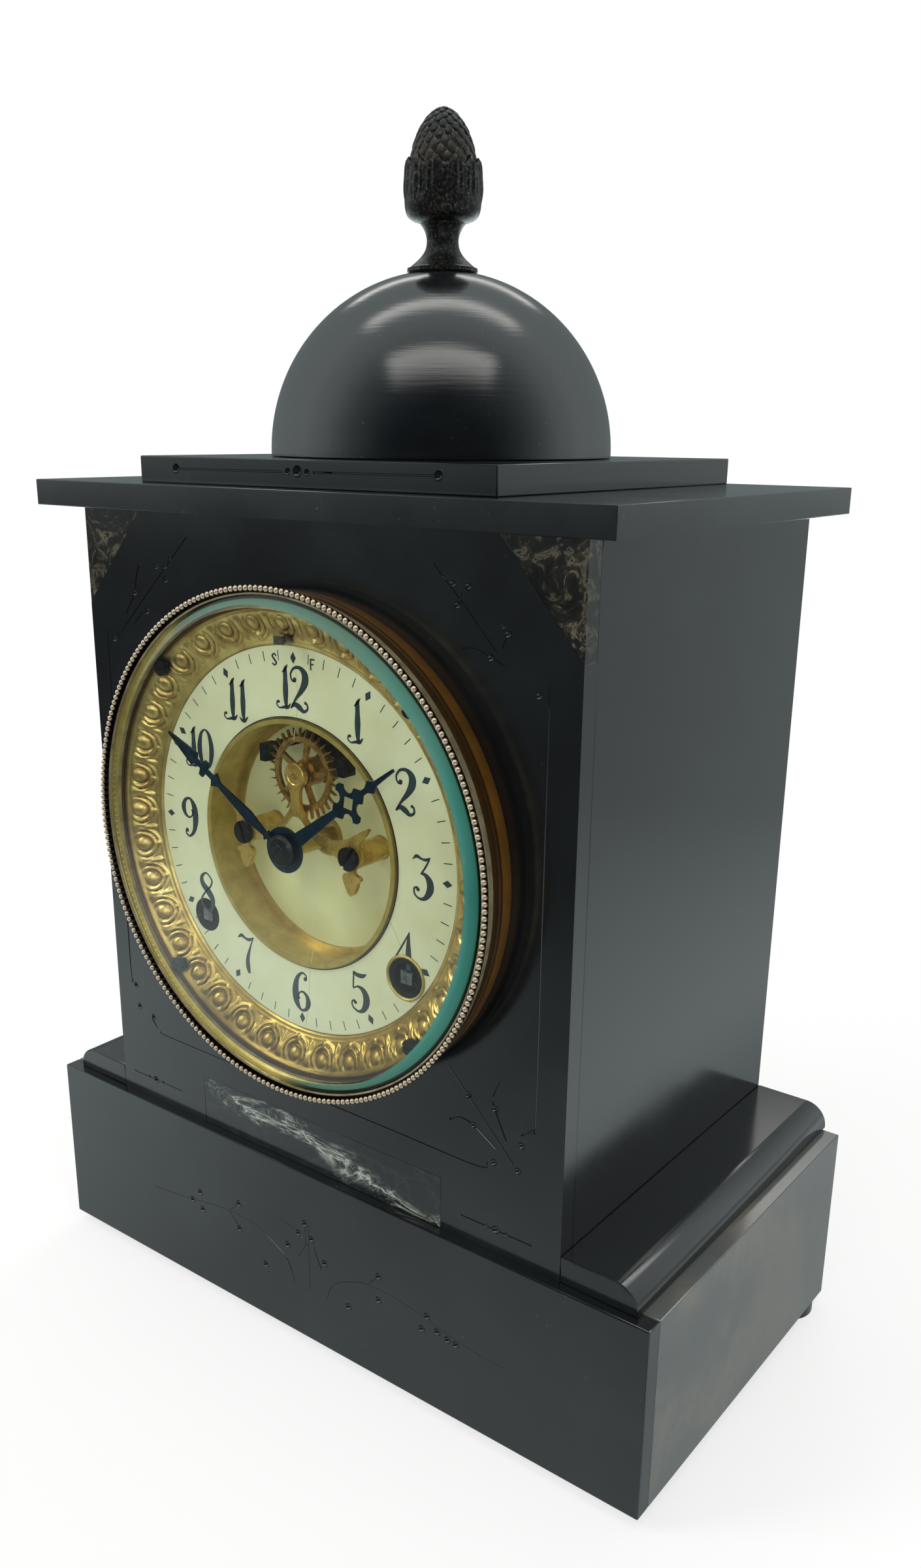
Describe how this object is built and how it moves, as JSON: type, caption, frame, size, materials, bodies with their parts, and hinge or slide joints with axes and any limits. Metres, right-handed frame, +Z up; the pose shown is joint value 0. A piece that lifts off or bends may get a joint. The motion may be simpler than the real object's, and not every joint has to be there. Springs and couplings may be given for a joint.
{
  "type": "mantel clock",
  "caption": "Slate mantel clock with hinged glazed sash, enamel dial, visible escapement, spring movement, coil gong, domed top with cone finial.",
  "frame": {"origin": "on the floor, under the centre of the overall box", "axes": "+Z up, the dial faces -Y, +X is the right of a person who faces the dial"},
  "size_m": [0.249, 0.1532, 0.3843],
  "materials": {
    "slate": "honed and waxed black slate",
    "marble": "polished mottled brown marble",
    "veined_marble": "polished black marble with white veins",
    "felt": "dark green felt",
    "brass": "lacquered brass with brown patina",
    "gilt_brass": "gilt brass",
    "bronze": "dull brown bronzed brass",
    "steel": "polished steel",
    "dark_steel": "darkened steel",
    "blued_steel": "blued steel",
    "enamel": "glossy cream enamel",
    "disc_enamel": "cream olive enamel",
    "dark_bronze": "dark bronzed casting",
    "glass": "clear bevelled plate glass",
    "iron": "japanned iron"
  },
  "bodies": {
    "case": {"base_front_panel": "slate", "base_side_panels": "slate", "base_back_rail": "slate", "base_slabs": "slate", "body_front_panel": "slate", "body_side_panels": "slate", "body_back_panel": "slate", "shoulder_mouldings": "slate", "cornice_slab": "slate", "top_plinth_slab": "slate", "dome": "slate", "corner_inlays": "marble", "marble_strip": "veined_marble", "feet": "felt", "front_plate": "brass", "back_plate": "brass", "movement_pillars": "brass", "back_door_hinge": "brass", "suspension_cock": "brass", "dial_plate": "brass", "recess_wall": "brass", "winding_ferrule": "brass", "escapement_cock": "brass", "cock_pillars": "brass", "finial": "dark_bronze", "dial_drum": "bronze", "embossed_ring": "bronze", "sash_hinge": "bronze", "finial_stud": "steel", "mainsprings": "steel", "dial_screws": "dark_steel", "enamel_chapter_ring": "enamel", "centre_disc": "disc_enamel", "gong": "iron"},
    "sash": {"sash_ring": "brass", "bead_ring": "bronze", "sash_glass": "glass"},
    "back_door": {"back_door": "brass"},
    "minute_hand_and_centre_wheel": {"minute_hand": "blued_steel", "hand_washer": "steel", "centre_wheel": "brass"},
    "hour_hand_and_wheel": {"hour_hand": "blued_steel", "hour_wheel": "brass"},
    "minute_wheel": {"minute_wheel": "brass"},
    "second_wheel": {"second_wheel": "brass"},
    "third_wheel": {"third_wheel": "brass"},
    "fourth_wheel": {"fourth_wheel": "brass"},
    "escape_wheel": {"escape_wheel": "gilt_brass"},
    "time_great_wheel": {"time_great_wheel": "brass"},
    "time_winding_arbor": {"time_winding_arbor": "steel"},
    "strike_winding_arbor": {"strike_winding_arbor": "steel"},
    "strike_great_wheel": {"strike_great_wheel": "brass"},
    "strike_pin_wheel": {"strike_pin_wheel": "brass"},
    "strike_warning_wheel": {"strike_warning_wheel": "brass"},
    "strike_fly": {"strike_fly": "brass"},
    "pallet_anchor": {"pallet_anchor": "dark_steel"},
    "pendulum": {"pendulum_rod": "steel", "pendulum_bob": "brass"},
    "regulator_arbor": {"regulator_arbor": "steel"},
    "hammer": {"hammer": "steel"}
  },
  "joints": [
    {"name": "sash_hinge", "type": "hinge", "parent": "case", "child": "sash", "pos_m": [-0.0792, -0.0711, 0.1784], "axis": [0, 0, -1], "range_deg": [0, 110]},
    {"name": "back_door_hinge", "type": "hinge", "parent": "case", "child": "back_door", "pos_m": [0.064, 0.0708, 0.1534], "axis": [0, 0, -1], "range_deg": [0, 120]},
    {"name": "minute_turn", "type": "hinge", "parent": "case", "child": "minute_hand_and_centre_wheel", "pos_m": [0, -0.0612, 0.1784], "axis": [0, 1, 0], "continuous": true},
    {"name": "hour_turn", "type": "hinge", "parent": "case", "child": "hour_hand_and_wheel", "pos_m": [0, -0.0612, 0.1784], "axis": [0, 1, 0], "continuous": true},
    {"name": "minute_wheel_turn", "type": "hinge", "parent": "case", "child": "minute_wheel", "pos_m": [0, -0.0612, 0.164], "axis": [0, 1, 0], "continuous": true},
    {"name": "second_wheel_turn", "type": "hinge", "parent": "case", "child": "second_wheel", "pos_m": [0.01074, -0.0612, 0.15966], "axis": [0, 1, 0], "continuous": true},
    {"name": "time_great_wheel_turn", "type": "hinge", "parent": "case", "child": "time_great_wheel", "pos_m": [0.041, -0.0612, 0.147], "axis": [0, 1, 0], "continuous": true},
    {"name": "third_wheel_turn", "type": "hinge", "parent": "case", "child": "third_wheel", "pos_m": [0.021, -0.0612, 0.1784], "axis": [0, 1, 0], "continuous": true},
    {"name": "fourth_wheel_turn", "type": "hinge", "parent": "case", "child": "fourth_wheel", "pos_m": [0.01894, -0.0612, 0.19628], "axis": [0, 1, 0], "continuous": true},
    {"name": "escape_wheel_turn", "type": "hinge", "parent": "case", "child": "escape_wheel", "pos_m": [0, -0.0612, 0.1997], "axis": [0, 1, 0], "continuous": true},
    {"name": "strike_great_wheel_turn", "type": "hinge", "parent": "case", "child": "strike_great_wheel", "pos_m": [-0.041, -0.0612, 0.147], "axis": [0, 1, 0], "continuous": true},
    {"name": "strike_pin_wheel_turn", "type": "hinge", "parent": "case", "child": "strike_pin_wheel", "pos_m": [-0.0353, -0.0612, 0.1793], "axis": [0, 1, 0], "continuous": true},
    {"name": "strike_warning_wheel_turn", "type": "hinge", "parent": "case", "child": "strike_warning_wheel", "pos_m": [-0.0245, -0.0612, 0.19801], "axis": [0, 1, 0], "continuous": true},
    {"name": "strike_fly_turn", "type": "hinge", "parent": "case", "child": "strike_fly", "pos_m": [-0.03066, -0.0612, 0.21492], "axis": [0, 1, 0], "continuous": true},
    {"name": "time_winding", "type": "hinge", "parent": "case", "child": "time_winding_arbor", "pos_m": [0.041, -0.0612, 0.147], "axis": [0, 1, 0], "continuous": true},
    {"name": "strike_winding", "type": "hinge", "parent": "case", "child": "strike_winding_arbor", "pos_m": [-0.041, -0.0612, 0.147], "axis": [0, 1, 0], "continuous": true},
    {"name": "pendulum_swing", "type": "hinge", "parent": "case", "child": "pendulum", "pos_m": [0, -0.0042, 0.2099], "axis": [0, 1, 0], "range_deg": [-3.5, 3.5]},
    {"name": "anchor_rock", "type": "hinge", "parent": "case", "child": "pallet_anchor", "pos_m": [0, -0.0612, 0.2099], "axis": [0, 1, 0], "range_deg": [-3.5, 3.5]},
    {"name": "regulator_turn", "type": "hinge", "parent": "case", "child": "regulator_arbor", "pos_m": [0, -0.0612, 0.2397], "axis": [0, 1, 0], "continuous": true},
    {"name": "hammer_lift", "type": "hinge", "parent": "case", "child": "hammer", "pos_m": [-0.0538, 0.0188, 0.1904], "axis": [0, 1, 0], "range_deg": [0, 18], "stiffness_Nm_per_rad": 0.02}
  ],
  "couplings": [
    {"joint": "minute_wheel_turn", "follows": "minute_turn", "ratio": -0.33333},
    {"joint": "hour_turn", "follows": "minute_turn", "ratio": 0.083333},
    {"joint": "second_wheel_turn", "follows": "minute_turn", "ratio": -0.2},
    {"joint": "time_great_wheel_turn", "follows": "minute_turn", "ratio": 0.034286},
    {"joint": "third_wheel_turn", "follows": "minute_turn", "ratio": -6},
    {"joint": "fourth_wheel_turn", "follows": "minute_turn", "ratio": 30},
    {"joint": "escape_wheel_turn", "follows": "minute_turn", "ratio": -162.5},
    {"joint": "strike_pin_wheel_turn", "follows": "strike_great_wheel_turn", "ratio": -5.8333},
    {"joint": "strike_warning_wheel_turn", "follows": "strike_great_wheel_turn", "ratio": 29.167},
    {"joint": "strike_fly_turn", "follows": "strike_great_wheel_turn", "ratio": -145.83},
    {"joint": "anchor_rock", "follows": "pendulum_swing", "ratio": 1}
  ]
}
